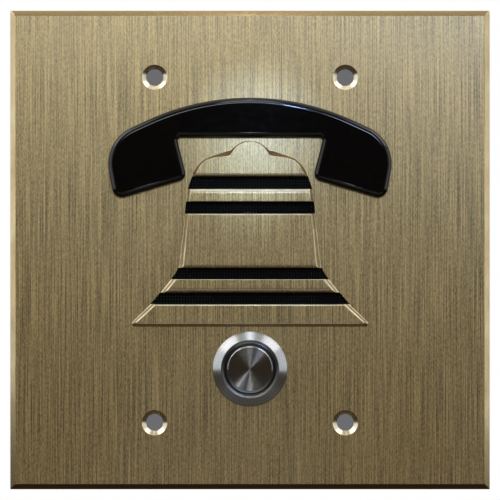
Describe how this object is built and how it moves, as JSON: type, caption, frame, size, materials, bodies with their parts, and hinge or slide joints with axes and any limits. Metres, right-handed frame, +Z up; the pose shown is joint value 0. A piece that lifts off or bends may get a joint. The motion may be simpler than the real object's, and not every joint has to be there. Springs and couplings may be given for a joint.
{
  "type": "door intercom panel",
  "caption": "Square brushed brass door intercom panel with a bell shaped speaker grille, a black handset inlay, a steel push button and its electronics behind.",
  "frame": {"origin": "on the wall's surface, behind the middle of the plate", "axes": "+Y into the wall, so the front faces -Y; +Z up; +X to the right of somebody facing the panel"},
  "size_m": [0.1158, 0.0319, 0.1156],
  "materials": {
    "brushed_brass": "antique, brushed up and down",
    "gloss_black": "polished",
    "stainless": "turned and brushed",
    "zinc_steel": "zinc plated",
    "black_plastic": "fine moulded",
    "black_mesh": "black woven wire",
    "foam": "closed-cell foam",
    "rubber": "matte",
    "paper_cone": "pressed paper",
    "ferrite": "ground ferrite",
    "copper": "copper alloy",
    "circuit_board": "green solder mask over glass fibre",
    "terminal_green": "moulded",
    "tinned": "bright pressed can",
    "capacitor_sleeve": "shrunk sleeve",
    "transformer": "taped winding on a laminated core",
    "trimmer_blue": "moulded",
    "trimmer_white": "moulded",
    "lead_red": "insulated wire",
    "lead_black": "insulated wire",
    "lead_white": "insulated wire"
  },
  "bodies": {
    "panel": {"face_plate": "brushed_brass", "wall_gasket": "foam", "handset_inlay": "gloss_black", "handset_push_nut_left": "zinc_steel", "handset_push_nut_right": "zinc_steel", "handset_push_nut_top": "zinc_steel", "grille_mesh": "black_mesh", "speaker_gasket": "foam", "speaker_frame": "zinc_steel", "speaker_surround": "rubber", "speaker_spider": "paper_cone", "speaker_top_plate": "zinc_steel", "speaker_magnet": "ferrite", "speaker_yoke": "zinc_steel", "speaker_terminal_strip": "black_plastic", "speaker_stud_left": "zinc_steel", "speaker_nut_left": "zinc_steel", "speaker_stud_right": "zinc_steel", "speaker_nut_right": "zinc_steel", "button_housing": "stainless", "button_seal_washer": "rubber", "button_lock_nut": "zinc_steel", "button_return_spring": "zinc_steel", "button_switch_base": "black_plastic", "button_terminal_left": "copper", "button_terminal_right": "copper", "circuit_board": "circuit_board", "board_standoff_1": "zinc_steel", "board_screw_1": "zinc_steel", "board_standoff_2": "zinc_steel", "board_screw_2": "zinc_steel", "board_standoff_3": "zinc_steel", "board_screw_3": "zinc_steel", "board_standoff_4": "zinc_steel", "board_screw_4": "zinc_steel", "microphone": "tinned", "microphone_boot": "rubber", "terminal_block": "terminal_green", "audio_transformer": "transformer", "capacitor_large": "capacitor_sleeve", "capacitor_small": "capacitor_sleeve", "control_chip": "black_plastic", "trimmer_body": "trimmer_blue", "speaker_lead_red": "lead_red", "speaker_lead_black": "lead_black", "button_lead_1": "lead_white", "button_lead_2": "lead_white"},
    "button": {"button_cap": "stainless", "button_plunger": "black_plastic", "button_contact_bridge": "copper"},
    "speaker_moving_parts": {"speaker_cone": "paper_cone", "dust_cap": "paper_cone", "voice_coil": "copper"},
    "trimmer": {"trimmer_rotor": "trimmer_white"},
    "terminal_screw_1": {"terminal_screw_1": "zinc_steel"},
    "terminal_clamp_1": {"terminal_clamp_1": "copper"},
    "terminal_screw_2": {"terminal_screw_2": "zinc_steel"},
    "terminal_clamp_2": {"terminal_clamp_2": "copper"}
  },
  "joints": [
    {"name": "button_press", "type": "slide", "parent": "panel", "child": "button", "axis": [0, 1, 0], "range_m": [0, 0.0016], "stiffness_N_per_m": 1000, "springref_m": -0.0015, "deforming": ["button_return_spring"]},
    {"name": "speaker_cone_travel", "type": "slide", "parent": "panel", "child": "speaker_moving_parts", "axis": [0, 1, 0], "range_m": [-0.0008, 0.0008], "stiffness_N_per_m": 2000, "deforming": ["speaker_surround", "speaker_spider"]},
    {"name": "volume_trim", "type": "hinge", "parent": "panel", "child": "trimmer", "pos_m": [0.0283, 0.0148, -0.008], "axis": [0, 1, 0], "range_deg": [-135, 135]},
    {"name": "terminal_clamp_1_rise", "type": "slide", "parent": "panel", "child": "terminal_clamp_1", "axis": [0, 1, 0], "range_m": [0, 0.0015]},
    {"name": "terminal_screw_1_turn", "type": "hinge", "parent": "panel", "child": "terminal_screw_1", "pos_m": [-0.0165, 0.0192, 0.0285], "axis": [0, -1, 0], "range_deg": [0, 1080]},
    {"name": "terminal_clamp_2_rise", "type": "slide", "parent": "panel", "child": "terminal_clamp_2", "axis": [0, 1, 0], "range_m": [0, 0.0015]},
    {"name": "terminal_screw_2_turn", "type": "hinge", "parent": "panel", "child": "terminal_screw_2", "pos_m": [-0.0115, 0.0192, 0.0285], "axis": [0, -1, 0], "range_deg": [0, 1080]}
  ],
  "couplings": [
    {"joint": "terminal_screw_1_turn", "follows": "terminal_clamp_1_rise", "rad_per_m": 12566},
    {"joint": "terminal_screw_2_turn", "follows": "terminal_clamp_2_rise", "rad_per_m": 12566}
  ]
}
